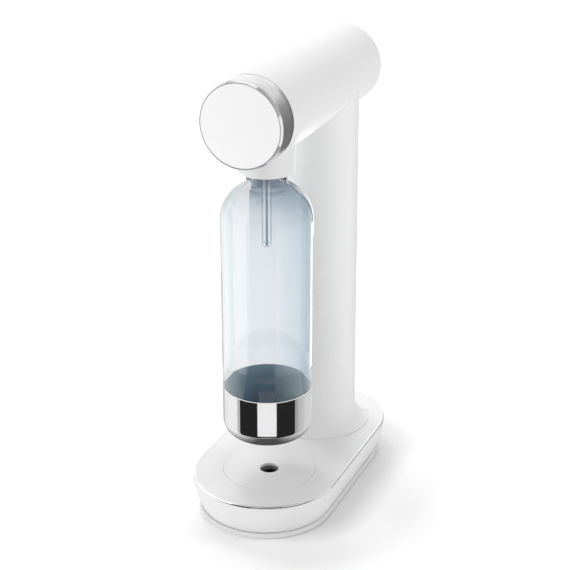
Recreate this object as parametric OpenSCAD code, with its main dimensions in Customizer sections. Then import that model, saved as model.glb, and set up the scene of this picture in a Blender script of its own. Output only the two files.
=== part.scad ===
// Countertop soda carbonator: a round arm on a round column, standing on a
// stadium-shaped base. A knob on the front of the arm opens the valve of a gas
// cylinder inside the column, and the gas runs to a nozzle in the bottle.
// Millimetres. +Z is up, the front is -Y, and the origin is the centre of the
// footprint on the surface that the feet stand on.

/* [Base] */
// Length of the base, front to back
base_l = 263; // [262:0.5:266]
// Width of the base
base_w = 138; // [137:0.5:141]
// Height of the top edge of the chrome trim
base_h = 37.3; // [37.1:0.1:37.6]
// Radius of the arc that the side wall follows down to the floor
side_arc_r = 72; // [71:0.5:76]
// Wall thickness of the base shell
base_wall = 3; // [2.5:0.1:3.2]
// Width and height of the chrome trim
trim_w = 1.8; // [1.5:0.1:2]
// Radius of the drip tray
tray_r = 44; // [43.5:0.1:44.4]

/* [Column] */
// Distance of the column's axis behind the origin
col_y = 61; // [60.5:0.1:61.5]
// Radius of the bore inside the column
col_in = 35; // [34.9:0.05:35.1]
// Outer radius where the column meets the arm
col_top_r = 38; // [37.8:0.1:38.2]
// Outer radius just above the flared foot
col_foot_r = 39.5; // [39.2:0.1:39.8]
// Radius of the concave flare
flare_fillet = 16; // [15:0.5:17]
// Radius of the flared foot's edge
flare_r = 54; // [53.5:0.1:54.5]
// Half of the angle that the removable rear cover spans
cover_half = 62; // [61:1:63]

/* [Arm] */
// Height of the arm's axis
arm_z = 389.2; // [389:0.1:389.4]
// Outer radius of the arm
arm_r = 38.8; // [38.7:0.1:39]
// Wall thickness of the arm's tube
arm_wall = 3; // [2.9:0.1:3.1]
// Front end of the arm's tube, measured from the origin
arm_front = -88.3; // [-89:0.1:-88]
// Rear end of the arm's tube
arm_rear = 125; // [123:0.5:127]

/* [Knob] */
// Front face of the knob
knob_front = -113.5; // [-114:0.1:-113]
// Radius of the pocket that the white face sits in
face_pocket_r = 37; // [36.9:0.1:37.1]

/* [Bottle] */
// Distance of the bottle's axis in front of the origin
bottle_y = -59; // [-59.5:0.1:-58.5]
// Outer radius of the bottle and of its steel cup
bottle_r = 41.7; // [41.5:0.1:42]
// Height of the underside of the steel cup
cup_z = 78.3; // [78:0.1:79]
// Height of the rim of the steel cup
cup_top = 127.9; // [126:0.1:130]
// Height at which the bottle's shoulder starts
shoulder_z = 290; // [289:0.1:290.5]
// Radius of the shoulder's arc
shoulder_r = 35.6; // [35.3:0.1:35.8]
// Radius of the bottle's neck below the mouth
neck_r = 18.2; // [18:0.1:18.3]
// Height of the bottle's mouth
mouth_z = 352.3; // [352:0.1:352.3]
// Wall thickness of the bottle
bottle_wall = 1.6; // [1.4:0.1:1.8]

/* [Gas cylinder] */
// Radius of the gas cylinder
gas_r = 30; // [29.5:0.1:30.2]
// Height of the cylinder's foot when it is locked in
gas_z = 40; // [39.8:0.1:40.2]

/* [Hidden] */
$fn = 96;

// Base levels and outline
base_r = base_w / 2;
base_end_y = base_l / 2 - base_r;
deck_z = base_h - 0.3;
deck_t = 3;
shell_z0 = 6.2;
trim_z0 = base_h - trim_w;
side_cx = base_r - side_arc_r;
pan_z0 = 1;
pan_t = 2.4;
pan_r = base_r - 5.2;
pan_lip_z = 5.8;
pan_step_r = base_r - 9.4;
foot_r = 8;
foot_x = 36;
foot_y = 88;
screw_x = 48;
screw_ys = [-base_end_y, 0, base_end_y];

// Drip tray, grommet and cup
tray_y = bottle_y + 3;
tray_gap = 0.3;
tray_ledge_z = deck_z - 3;
tray_hole_r = 40;
tray_body_r = 39.2;
tray_floor_z = deck_z - 1.4;
grommet_lip_r = 10.2;
grommet_r = 9.6;
grommet_bore = 9;
drip_cup_r = 36;
drip_cup_z0 = 7;
drip_cup_top = 31;

// Column
col_foot_z = deck_z;
sill_t = 1.2;
cover_gap = 0.4;
col_screw_r = 45;
col_screw_angles = [-45, -135, 10, 170];
spine_in = 32;
spine_out = 34.4;
spine_half = 55;

// Cradle under the gas cylinder
cradle_r = 33.8;
cradle_z = 34.7;
cradle_t = 3.2;

// Gas cylinder and its valve, locked in
dome_z = 308;
gas_wall = 3;
neck_gas_r = 13;
neck_gas_z = 346;
valve_r = 12;
groove_r = 9;
groove_z0 = 352;
flange_z0 = 370;
valve_top = 383.8;
pin_top = 386.8;

// Valve block
block_r = 18;
block_z0 = 372;
block_z1 = 398;
socket_z = 385.5;
chamber_z = 390;
plunger_r = 3;
plunger_z0 = 387.2;
plunger_z1 = 403;
spring_z0 = 394.6;
run_fit = 0.05;

// Rocker between the cam and the plunger
rocker_y = 38;
rocker_z = 406;
rocker_front = 19;
rocker_rear = 66;
rocker_t = 5;
rocker_w = 8;
pin_r = 2;

// Cylinder lock lever
lever_y = 69;
lever_z = 366;
lever_in = 13;
lever_t = 2.8;
handle_y = 82;
handle_z = 350;
finger_z = 367.6;

// Inner frame of the arm
arm_in = arm_r - arm_wall;
plate_in = 20;
plate_t = 3;
plate_z0 = 362;
plate_z1 = 412;
plate_y1 = 50;
bulkhead_t = 3.2;
bulkhead_y = arm_front + 0.8;
frame_y0 = bulkhead_y + bulkhead_t;
mid_wall_y = -30;
rear_wall_y = 10;
wall_t = 4;
boss_pitch_r = 32.8;
boss_angles = [90, 210, 330];

// Knob, shaft and cam
shaft_r = 4;
shaft_front = -104;
shaft_rear = 31;
clip_y = -79.4;
cam_y = 20;
cam_w = 8;
cam_r = 14.2;
cam_lift = 1.12;
cam_phase = 110;
ring_in = 36;
pocket_y = knob_front + 4.8;
hub_y = pocket_y + 2.6;

// Bottle holder and nozzle
pivot_z = 368;
collar_r = 25.5;
collar_in = 23.6;
collar_z0 = 334.6;
spigot_r = 24.5;
spigot_top = 361.5;
holder_r = 19;
holder_in = 15.6;
holder_z0 = 340;
holder_plate_z = 357;
ball_r = 6;
socket_fit = 0.3;
sleeve_r = 4.3;
sleeve_in = 3.6;
sleeve_z0 = 263;
tube_r = 1;

// Gas line
pipe_x = 16.5;
pipe_z = 378;
pipe_r = 2;
manifold_z0 = 375;
manifold_z1 = 384.6;
relief_x = -13;
relief_y = -44;

// Bottle
bottle_low_r = bottle_r - 1.1;
cup_wall = 1;
cup_fillet = 15;
mouth_r = 15;
mouth_bore = mouth_r - 2;
neck_top = 333;
bottle_z0 = cup_z + cup_wall + 0.1;
arc_x = bottle_r - shoulder_r;
neck_fillet = 4.5;
fillet_x = neck_r + neck_fillet;
fillet_z = shoulder_z + sqrt(pow(shoulder_r + neck_fillet, 2) - pow(fillet_x - arc_x, 2));

// ---------- shared shapes ----------

// Sweeps a profile, drawn as distance from the wall's arc centre and height,
// round the stadium outline of the base.
module stadium_sweep() {
    for (s = [0, 180])
        rotate([0, 0, s])
            translate([0, base_end_y, 0])
                rotate_extrude(angle = 180)
                    children();
    for (s = [0, 1])
        mirror([s, 0, 0])
            translate([0, base_end_y, 0])
                rotate([90, 0, 0])
                    linear_extrude(2 * base_end_y)
                        children();
}

// Rectangle with its upper outer corner rounded
module round_top_rect(x0, x1, y0, y1, r) {
    translate([x0, y0])
        square([x1 - x0, y1 - y0 - r]);
    translate([x0, y1 - r - 0.01])
        square([x1 - x0 - r, r + 0.01]);
    translate([x1 - r, y1 - r])
        circle(r);
}

// Tube along Z
module tube(ro, ri, z0, z1) {
    translate([0, 0, z0])
        difference() {
            cylinder(r = ro, h = z1 - z0);
            translate([0, 0, -1])
                cylinder(r = ri, h = z1 - z0 + 2);
        }
}

// Cylinder along Z between two heights
module rod(r, z0, z1) {
    translate([0, 0, z0])
        cylinder(r = r, h = z1 - z0);
}

// Turns children drawn along +Z so that they run along the arm's axis, with
// their height as the distance behind the origin.
module along_arm() {
    translate([0, 0, arm_z])
        rotate([-90, 0, 0])
            children();
}

// Cylinder along X between two positions
module cross_rod(r, x0, x1, y, z) {
    translate([x0, y, z])
        rotate([0, 90, 0])
            cylinder(r = r, h = x1 - x0);
}

// Box given by its lowest and highest corners
module block(a, b) {
    translate(a)
        cube(b - a);
}

// Straight bar of width w between two points of a plane
module bar_2d(p, q, w) {
    d = q - p;
    translate(p)
        rotate(atan2(d[1], d[0]))
            translate([0, -w / 2])
                square([norm(d), w]);
}

// Plate drawn in the YZ plane and given a thickness along X
module side_plate(x0, t) {
    translate([x0, 0, 0])
        rotate([90, 0, 90])
            linear_extrude(t)
                children();
}

// Coil spring of round wire, standing on its z0
module coil(r, wire, z0, z1, turns) {
    steps = 20 * turns;
    sides = 8;
    rise = (z1 - z0 - 2 * wire) / steps;
    points = [
        for (i = [0:steps], k = [0:sides - 1])
            let (a = 360 * i / 20, b = 360 * k / sides, q = r + wire * cos(b))
                [q * cos(a), q * sin(a), z0 + wire + rise * i + wire * sin(b)]
    ];
    skin = [
        for (i = [0:steps - 1], k = [0:sides - 1])
            let (n = (k + 1) % sides)
                [i * sides + k, i * sides + n, (i + 1) * sides + n, (i + 1) * sides + k]
    ];
    start = [[for (k = [sides - 1:-1:0]) k]];
    end = [[for (k = [0:sides - 1]) steps * sides + k]];
    polyhedron(points, concat(skin, start, end), convexity = 10);
}

module at_column() {
    translate([0, col_y, 0])
        children();
}

module at_bottle() {
    translate([0, bottle_y, 0])
        children();
}

module at_tray() {
    translate([0, tray_y, 0])
        children();
}

module at_base_screws() {
    for (x = [-screw_x, screw_x], y = screw_ys)
        translate([x, y, 0])
            children();
}

module at_feet() {
    for (x = [-foot_x, foot_x], y = [-foot_y, foot_y])
        translate([x, y, 0])
            children();
}

// ---------- base ----------

module base_shell_profile() {
    difference() {
        intersection() {
            translate([side_cx, base_h])
                circle(r = side_arc_r, $fn = 240);
            translate([0, shell_z0])
                square([base_r, deck_z - shell_z0]);
        }
        intersection() {
            translate([side_cx, base_h])
                circle(r = side_arc_r - base_wall, $fn = 240);
            translate([-0.5, shell_z0 - 1])
                square([base_r, deck_z - deck_t - shell_z0 + 1]);
        }
        translate([base_r - trim_w, trim_z0])
            square([trim_w + 1, trim_w + 1]);
    }
}

module base_shell() {
    color("white")
        difference() {
            union() {
                stadium_sweep()
                    base_shell_profile();
                at_base_screws()
                    rod(4, pan_z0 + pan_t, deck_z - 1);
                at_tray()
                    rod(tray_r + 3.2, tray_ledge_z - 2.6, deck_z - 1);
            }
            at_base_screws()
                rod(1.5, 0, 16);
            at_tray() {
                rod(tray_r + tray_gap, tray_ledge_z, deck_z + 1);
                rod(tray_hole_r, 0, deck_z + 1);
            }
            at_column() {
                rod(cradle_r + 0.2, 0, deck_z + 1);
                for (a = col_screw_angles)
                    rotate([0, 0, a])
                        translate([col_screw_r, 0, 0])
                            rod(1.6, 30, deck_z + 1);
            }
        }
}

module base_trim() {
    color("silver")
        stadium_sweep()
            round_top_rect(base_r - trim_w, base_r, trim_z0, base_h, 0.8);
}

module base_pan() {
    color("whitesmoke")
        difference() {
            stadium_sweep() {
                translate([0, pan_z0])
                    square([pan_r - 2, pan_t]);
                translate([pan_step_r - 2, pan_z0 + 0.6])
                    square([pan_r - pan_step_r + 2, pan_lip_z - pan_z0 - 0.6]);
                translate([pan_step_r - 2, pan_z0])
                    square([pan_r - pan_step_r + 1.4, 1]);
                translate([pan_step_r - 2, pan_z0])
                    square([2, shell_z0 - pan_z0]);
            }
            at_feet()
                rod(foot_r + 0.1, 0, 2.5);
            at_base_screws() {
                rod(1.7, 0, 10);
                rod(3.4, 0, 2.6);
            }
        }
}

module rubber_feet() {
    color("dimgray")
        at_feet()
            rod(foot_r, 0, 2.5);
}

module base_screws() {
    color("silver")
        at_base_screws() {
            rod(3.2, 1.3, 2.6);
            rod(1.45, 2.5, 15);
        }
}

module drip_tray() {
    color("white")
        at_tray()
            difference() {
                union() {
                    rod(tray_r, tray_ledge_z, deck_z);
                    rod(tray_body_r, tray_ledge_z - 1.6, tray_ledge_z + 0.5);
                }
                rotate_extrude() {
                    translate([0, tray_floor_z])
                        square([tray_r - 5, 5]);
                    translate([tray_r - 5, tray_floor_z + 3.8])
                        circle(r = 3.8);
                }
                rod(grommet_r + 0.05, 20, deck_z + 1);
                rod(grommet_lip_r + 0.05, tray_floor_z - 1, deck_z + 1);
            }
}

module drain_grommet() {
    color("gray")
        at_tray()
            difference() {
                union() {
                    rod(grommet_lip_r, tray_floor_z - 1, tray_floor_z + 0.4);
                    rod(grommet_r, drip_cup_top - 2, tray_floor_z - 0.5);
                }
                rod(grommet_bore, 20, deck_z + 1);
            }
}

module drip_cup() {
    color("lightgray")
        at_tray()
            difference() {
                union() {
                    rod(drip_cup_r, drip_cup_z0, drip_cup_top);
                    rod(drip_cup_r + 2, drip_cup_top - 1.8, tray_ledge_z - 1.6);
                }
                rod(drip_cup_r - 2, drip_cup_z0 + 2, drip_cup_top + 5);
            }
}

// ---------- column ----------

module column_profile(z0) {
    difference() {
        polygon([
            [col_in, z0],
            [flare_r, z0],
            [flare_r, col_foot_z + sill_t],
            [flare_r, col_foot_z + sill_t + flare_fillet],
            [col_foot_r, col_foot_z + sill_t + flare_fillet],
            [col_top_r, arm_z],
            [col_in, arm_z]
        ]);
        translate([col_foot_r + flare_fillet, col_foot_z + sill_t + flare_fillet])
            circle(r = flare_fillet);
    }
}

// Everything that the arm's tube takes away from the top of the column
module arm_saddle(gap) {
    translate([0, -20, 0])
        along_arm()
            cylinder(r = arm_r + gap, h = 180);
}

module column_shell() {
    color("white")
        difference() {
            at_column() {
                rotate([0, 0, 90 + cover_half])
                    rotate_extrude(angle = 360 - 2 * cover_half)
                        column_profile(col_foot_z);
                tube(flare_r, col_in, col_foot_z, col_foot_z + sill_t);
            }
            arm_saddle(0.05);
            at_column()
                for (a = col_screw_angles)
                    rotate([0, 0, a])
                        translate([col_screw_r, 0, 0])
                            rod(1.5, 30, col_foot_z + 4);
        }
}

module rear_cover() {
    gap_angle = cover_gap * 180 / (PI * col_in);
    color("white")
        difference() {
            at_column()
                rotate([0, 0, 90 - cover_half + gap_angle])
                    rotate_extrude(angle = 2 * (cover_half - gap_angle))
                        column_profile(col_foot_z + sill_t + 0.3);
            arm_saddle(cover_gap);
        }
}

module column_spine() {
    color("gray")
        at_column()
            rotate([0, 0, -90 - spine_half])
                rotate_extrude(angle = 2 * spine_half)
                    translate([spine_in, cradle_z + 5.3])
                        square([spine_out - spine_in, plate_z0 - cradle_z - 5.3]);
}

module column_screws() {
    color("silver")
        at_column()
            for (a = col_screw_angles)
                rotate([0, 0, a])
                    translate([col_screw_r, 0, 0]) {
                        rod(3, deck_z - deck_t - 2, deck_z - deck_t);
                        rod(1.45, deck_z - deck_t - 1, col_foot_z + 3.6);
                    }
}

module cylinder_cradle() {
    color("gray")
        at_column() {
            rod(cradle_r, cradle_z - cradle_t, cradle_z);
            tube(29, 26, pan_z0 + pan_t, cradle_z - 1);
            rotate([0, 0, 90 + cover_half])
                rotate_extrude(angle = 360 - 2 * cover_half)
                    translate([31.2, cradle_z - 1])
                        square([cradle_r - 31.2, 6.3]);
        }
}

// ---------- gas cylinder and valve ----------

// Half section of the cylinder at a distance inside its outer skin
module gas_half(inset) {
    r = gas_r - inset;
    foot = 7 - inset;
    translate([0, gas_z + inset])
        square([r - foot, dome_z - gas_z - inset]);
    translate([0, gas_z + inset + foot])
        square([r, dome_z - gas_z - inset - foot]);
    translate([r - foot, gas_z + inset + foot])
        circle(r = foot);
    intersection() {
        translate([0, dome_z])
            circle(r = r);
        translate([0, dome_z - 1])
            square([r, r + 2]);
    }
}

module gas_cylinder() {
    color("lightslategray")
        at_column()
            difference() {
                union() {
                    rotate_extrude()
                        gas_half(0);
                    rod(neck_gas_r, dome_z + 20, neck_gas_z);
                }
                rotate_extrude()
                    gas_half(gas_wall);
                rod(8, dome_z + 20, neck_gas_z + 1);
            }
}

module cylinder_valve() {
    color("goldenrod")
        at_column()
            difference() {
                union() {
                    rod(8, neck_gas_z - 10, neck_gas_z + 1);
                    rod(valve_r, neck_gas_z, groove_z0);
                    rod(groove_r, groove_z0 - 1, flange_z0 + 1);
                    rod(valve_r, flange_z0, valve_top);
                }
                rod(1.6 + run_fit, flange_z0, valve_top + 1);
                rod(5, neck_gas_z - 11, flange_z0 - 3);
            }
}

module valve_pin() {
    color("silver")
        at_column()
            rod(1.6, flange_z0 + 2.4, pin_top);
}

module valve_block() {
    color("silver")
        difference() {
            union() {
                at_column()
                    rod(block_r, block_z0, block_z1);
                for (s = [0, 1])
                    mirror([s, 0, 0]) {
                        block([10, 42, 384], [plate_in, plate_y1, block_z1]);
                        block([12, 64.5, block_z0], [19.2, 73.5, 380]);
                        block([16.2, 64.5, lever_z - 4.5], [19.2, 73.5, block_z0 + 1]);
                    }
                block([10, 43, 373], [19.8, 62, 383]);
            }
            at_column() {
                rod(valve_r + 0.4, block_z0 - 1, socket_z);
                rod(6, socket_z - 1, chamber_z);
                rod(plunger_r + run_fit, chamber_z - 1, block_z1 + 1);
                rod(5.6, spring_z0 - 0.1, block_z1 + 1);
            }
            for (s = [0, 1])
                mirror([s, 0, 0]) {
                    cross_rod(pin_r, 10, 25, lever_y, lever_z);
                    for (z = [388, 394])
                        cross_rod(1.25, 12, 25, 46, z);
                }
            translate([pipe_x, 0, pipe_z])
                rotate([-90, 0, 0])
                    cylinder(r = pipe_r, h = 56);
        }
}

module cylinder_seal() {
    color("dimgray")
        at_column()
            tube(11.5, 6.5, valve_top, socket_z);
}

module plunger() {
    color("silver")
        at_column() {
            rod(plunger_r, plunger_z0, plunger_z1 - 1);
            rod(5, plunger_z1 - 1.8, plunger_z1);
        }
}

module plunger_spring() {
    color("silver")
        at_column()
            coil(4.25, 0.45, spring_z0, plunger_z1 - 1.9, 4);
}

module rocker() {
    color("slategray")
        side_plate(-rocker_w / 2, rocker_w)
            difference() {
                union() {
                    translate([rocker_front, rocker_z - rocker_t / 2])
                        square([rocker_rear - rocker_front, rocker_t]);
                    translate([rocker_y, rocker_z])
                        circle(r = 5);
                }
                translate([rocker_y, rocker_z])
                    circle(r = pin_r + run_fit);
            }
}

module rocker_pin() {
    color("silver")
        cross_rod(pin_r, -plate_in - plate_t, plate_in + plate_t, rocker_y, rocker_z);
}

module lock_lever() {
    pivot = [lever_y, lever_z];
    handle = [handle_y, handle_z];
    finger = [col_y, finger_z];
    color("crimson") {
        for (x = [-lever_in - lever_t, lever_in])
            side_plate(x, lever_t)
                difference() {
                    union() {
                        bar_2d(pivot, handle, 6);
                        bar_2d(pivot, finger, 5);
                        translate(pivot)
                            circle(r = 4.4);
                        translate(handle)
                            circle(r = 3.3);
                        translate(finger)
                            circle(r = 3);
                    }
                    translate(pivot)
                        circle(r = pin_r + run_fit);
                }
        cross_rod(2.4, -lever_in - 1, lever_in + 1, handle_y, handle_z);
        for (s = [0, 1])
            mirror([s, 0, 0])
                cross_rod(1.8, 9.5, lever_in + 1, col_y, finger_z);
    }
}

module lever_pins() {
    color("silver")
        for (s = [0, 1])
            mirror([s, 0, 0])
                cross_rod(pin_r, lever_in, 19.2, lever_y, lever_z);
}

// ---------- arm ----------

module arm_shell() {
    color("white")
        difference() {
            union() {
                along_arm()
                    rotate_extrude() {
                        round_top_rect(arm_in, arm_r, arm_front, arm_rear, 1);
                    }
                along_arm()
                    for (a = boss_angles)
                        rotate([0, 0, -a])
                            translate([boss_pitch_r, 0, 0])
                                rod(3.4, frame_y0, frame_y0 + 12);
            }
            along_arm()
                for (a = boss_angles)
                    rotate([0, 0, -a])
                        translate([boss_pitch_r, 0, 0])
                            rod(1.25, arm_front, frame_y0 + 10);
            at_column()
                rod(col_in, arm_z - arm_r - 5, arm_z);
            at_bottle()
                rod(spigot_r + 0.1, arm_z - arm_r - 5, arm_z);
        }
}

module arm_rear_cap() {
    color("white")
        along_arm() {
            rod(arm_in - 0.1, arm_rear - 3.3, arm_rear - 0.3);
            tube(arm_in - 0.1, arm_in - 2.3, arm_rear - 12, arm_rear - 1);
        }
}

module arm_frame() {
    color("gray")
        difference() {
            union() {
                for (x = [-plate_in - plate_t, plate_in])
                    block([x, frame_y0, plate_z0], [x + plate_t, plate_y1, plate_z1]);
                for (y = [mid_wall_y, rear_wall_y])
                    block([-plate_in - 1, y, plate_z0], [plate_in + 1, y + wall_t, plate_z1]);
                block([-plate_in - 1, mid_wall_y, plate_z0],
                      [plate_in + 1, rear_wall_y + wall_t, plate_z0 + 2]);
            }
            cross_rod(2.5 + run_fit, -30, 30, bottle_y, pivot_z);
            cross_rod(pin_r, -30, 30, rocker_y, rocker_z);
            for (z = [388, 394])
                cross_rod(1.3, -30, 30, 46, z);
            along_arm()
                rod(7, mid_wall_y - 1, plate_y1);
            translate([pipe_x, mid_wall_y - 1, pipe_z])
                rotate([-90, 0, 0])
                    cylinder(r = pipe_r + 0.4, h = 50);
        }
}

module frame_screws() {
    color("silver")
        for (s = [0, 1], z = [388, 394])
            mirror([s, 0, 0]) {
                cross_rod(1.25, 13, 24, 46, z);
                cross_rod(2.5, 23, 24.6, 46, z);
            }
}

module front_bulkhead() {
    color("gray")
        along_arm()
            difference() {
                rod(arm_in - 0.1, bulkhead_y, frame_y0);
                rod(8.5, bulkhead_y - 1, frame_y0 + 1);
                for (a = boss_angles)
                    rotate([0, 0, -a])
                        translate([boss_pitch_r, 0, 0])
                            rod(1.4, bulkhead_y - 1, frame_y0 + 1);
            }
}

module bulkhead_screws() {
    color("silver")
        along_arm()
            for (a = boss_angles)
                rotate([0, 0, -a]) {
                    translate([boss_pitch_r, 0, 0])
                        rod(1.2, bulkhead_y - 0.5, frame_y0 + 9);
                    translate([boss_pitch_r, 0, 0])
                        rod(2.4, bulkhead_y - 1.4, bulkhead_y);
                }
}

module front_bush() {
    color("khaki")
        along_arm() {
            tube(8.5, shaft_r + run_fit, bulkhead_y - 1, clip_y - 0.6);
            tube(11, shaft_r + run_fit, frame_y0, frame_y0 + 1.5);
        }
}

module rear_bush() {
    color("khaki")
        along_arm() {
            tube(7, shaft_r + run_fit, rear_wall_y - 1.5, rear_wall_y + wall_t + 1.5);
            tube(9, shaft_r + run_fit, rear_wall_y - 3, rear_wall_y);
        }
}

// ---------- knob ----------

module knob_ring() {
    color("silver")
        along_arm()
            rotate_extrude()
                polygon([
                    [ring_in, arm_front - 0.5],
                    [ring_in, pocket_y],
                    [face_pocket_r, pocket_y],
                    [face_pocket_r, knob_front],
                    [face_pocket_r + 0.3, knob_front],
                    [arm_r, knob_front + 2.2],
                    [arm_r, arm_front - 0.5]
                ]);
}

module knob_face() {
    r = face_pocket_r - 0.3;
    top = knob_front + 0.1;
    color("white")
        along_arm()
            rotate_extrude() {
                translate([0, top])
                    square([r - 0.6, 1]);
                translate([0, top + 0.6])
                    square([r, pocket_y - top - 0.6]);
                translate([r - 0.6, top + 0.6])
                    circle(r = 0.6);
            }
}

module knob_hub() {
    color("gray")
        along_arm()
            difference() {
                union() {
                    rod(ring_in, hub_y, hub_y + 3);
                    rod(9, hub_y, arm_front - 1.5);
                    tube(ring_in, ring_in - 2, pocket_y, hub_y + 12);
                }
                rod(shaft_r, shaft_front, arm_front);
                rod(2.1, hub_y - 1, shaft_front + 1);
            }
}

module knob_shaft() {
    color("silver")
        along_arm()
            difference() {
                rod(shaft_r, shaft_front, shaft_rear);
                rod(2, shaft_front - 1, shaft_front + 14);
                tube(shaft_r + 1, 3.4, clip_y, clip_y + 1.2);
            }
}

module knob_screw() {
    color("silver")
        along_arm() {
            rod(4, hub_y - 2.2, hub_y);
            rod(1.95, hub_y - 1, shaft_front + 12);
        }
}

module valve_cam() {
    offset_x = -cam_lift * sin(cam_phase);
    offset_z = cam_lift * cos(cam_phase);
    color("slategray")
        difference() {
            translate([offset_x, cam_y, arm_z + offset_z])
                rotate([-90, 0, 0])
                    cylinder(r = cam_r, h = cam_w);
            along_arm()
                rod(shaft_r, 0, 40);
        }
}

module shaft_clip() {
    color("silver")
        along_arm()
            difference() {
                tube(7, 3.4, clip_y + 0.1, clip_y + 1.1);
                block([-1.6, -9, clip_y - 1], [1.6, 0, clip_y + 3]);
            }
}

// ---------- bottle holder and nozzle ----------

module bottle_collar() {
    color("white")
        difference() {
            union() {
                difference() {
                    at_bottle()
                        rotate_extrude() {
                            translate([collar_in, collar_z0])
                                square([collar_r - collar_in - 1.5, 3]);
                            translate([collar_in, collar_z0 + 1.5])
                                square([collar_r - collar_in, spigot_top - collar_z0 - 1.5]);
                            translate([collar_r - 1.5, collar_z0 + 1.5])
                                circle(r = 1.5);
                        }
                    translate([0, -180, 0])
                        arm_saddle(0.05);
                }
                at_bottle()
                    tube(spigot_r, collar_in, collar_z0 + 5, spigot_top);
            }
            at_bottle()
                rod(collar_in, collar_z0 - 1, spigot_top + 1);
        }
}

module bottle_holder() {
    color("lightgray")
        difference() {
            union() {
                at_bottle() {
                    tube(holder_r, holder_in, holder_z0, holder_plate_z + 1);
                    rod(holder_r, holder_plate_z, holder_plate_z + 3);
                }
                for (x = [-19.3, 16.3])
                    side_plate(x, 3) {
                        translate([bottle_y, pivot_z])
                            circle(r = 5);
                        translate([bottle_y - 5, holder_plate_z + 1])
                            square([10, pivot_z - holder_plate_z - 1]);
                    }
            }
            at_bottle()
                rod(3.6, holder_z0, pivot_z);
            cross_rod(2.5, -30, 30, bottle_y, pivot_z);
        }
}

module holder_pins() {
    color("silver")
        for (s = [0, 1])
            mirror([s, 0, 0])
                cross_rod(2.5, 15, 23, bottle_y, pivot_z);
}

module bottle_seal() {
    color("dimgray")
        at_bottle()
            tube(15.4, 3.6, mouth_z + 0.3, holder_plate_z);
}

module nozzle_head() {
    color("goldenrod")
        at_bottle()
            difference() {
                union() {
                    translate([0, 0, pivot_z])
                        sphere(r = ball_r);
                    rod(3.5, mouth_z + 0.3, pivot_z - 3);
                    rod(8, holder_plate_z + 3, holder_plate_z + 5);
                    rod(sleeve_in - 0.1, mouth_z - 6, mouth_z + 1);
                }
                rod(tube_r, mouth_z - 7, pivot_z + 7);
            }
}

module nozzle_tube() {
    color("silver")
        at_bottle()
            tube(tube_r, 0.45, sleeve_z0 + 1.6, pivot_z - 4);
}

module nozzle_sleeve() {
    color("lightcyan")
        at_bottle()
            difference() {
                union() {
                    rod(sleeve_r, sleeve_z0 + sleeve_r, mouth_z + 0.2);
                    translate([0, 0, sleeve_z0 + sleeve_r])
                        sphere(r = sleeve_r);
                }
                rod(sleeve_in, sleeve_z0 + sleeve_r, mouth_z + 1);
                rod(1.3, sleeve_z0 - 1, sleeve_z0 + 6);
            }
}

// ---------- gas line ----------

module gas_manifold() {
    color("silver")
        difference() {
            union() {
                block([-plate_in, bottle_y - 9, manifold_z0],
                      [plate_in, bottle_y + 9, manifold_z1]);
                block([-plate_in, bottle_y + 8, manifold_z0],
                      [-6, relief_y + 6.5, manifold_z1]);
                at_bottle()
                    rod(9, pivot_z, manifold_z0 + 1);
            }
            at_bottle() {
                translate([0, 0, pivot_z])
                    sphere(r = ball_r + socket_fit);
                rod(1.2, pivot_z, pipe_z + 1.2);
            }
            cross_rod(1.2, 0, pipe_x + 0.5, bottle_y, pipe_z);
            translate([pipe_x, bottle_y - 1.2, pipe_z])
                rotate([-90, 0, 0])
                    cylinder(r = 1.2, h = 5);
            translate([pipe_x, bottle_y + 3, pipe_z])
                rotate([-90, 0, 0])
                    cylinder(r = pipe_r, h = 8);
        }
}

module gas_pipe() {
    color("silver")
        translate([pipe_x, bottle_y + 3, pipe_z])
            rotate([-90, 0, 0])
                tube(pipe_r, 1.2, 0, 56 - bottle_y - 3);
}

module relief_valve() {
    color("goldenrod")
        translate([relief_x, relief_y, 0])
            difference() {
                rod(5.5, 362.5, manifold_z0);
                rod(3.6, 364.5, manifold_z0 + 1);
                rod(1.8, 362, 370);
            }
}

module relief_poppet() {
    color("silver")
        translate([relief_x, relief_y, 0]) {
            rod(3.2, 372.2, 374.6);
            rod(1.4, 361.9, 373);
        }
}

module relief_spring() {
    color("silver")
        translate([relief_x, relief_y, 0])
            coil(2.4, 0.35, 364.6, 372.1, 5);
}

// ---------- bottle ----------

// Half section of the bottle at a distance inside its outer skin
module bottle_half(inset) {
    low_r = bottle_low_r - inset;
    top_r = bottle_r - inset;
    foot = cup_fillet - 1.1;
    arc = shoulder_r - inset;
    translate([0, bottle_z0 + inset])
        square([low_r - foot, shoulder_z - bottle_z0 - inset]);
    translate([0, bottle_z0 + inset + foot])
        square([low_r, shoulder_z - bottle_z0 - inset - foot]);
    translate([low_r - foot, bottle_z0 + inset + foot])
        circle(r = foot);
    translate([0, cup_top + 0.1 + inset])
        square([top_r, shoulder_z - cup_top - 0.1 - inset]);
    intersection() {
        union() {
            translate([arc_x, shoulder_z])
                circle(r = arc, $fn = 180);
            translate([0, shoulder_z - 1])
                square([arc_x, arc + 1]);
        }
        translate([0, shoulder_z - 1])
            square([top_r, arc + 1]);
    }
}

// Concave fillet between the bottle's shoulder and its neck
module neck_fillet_half() {
    k = shoulder_r / (shoulder_r + neck_fillet);
    difference() {
        polygon([
            [mouth_r, fillet_z - 4],
            [arc_x + (fillet_x - arc_x) * k - 1, shoulder_z + (fillet_z - shoulder_z) * k - 1],
            [arc_x + (fillet_x - arc_x) * k, shoulder_z + (fillet_z - shoulder_z) * k],
            [fillet_x, fillet_z],
            [mouth_r, fillet_z]
        ]);
        translate([fillet_x, fillet_z])
            circle(r = neck_fillet);
    }
}

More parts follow.
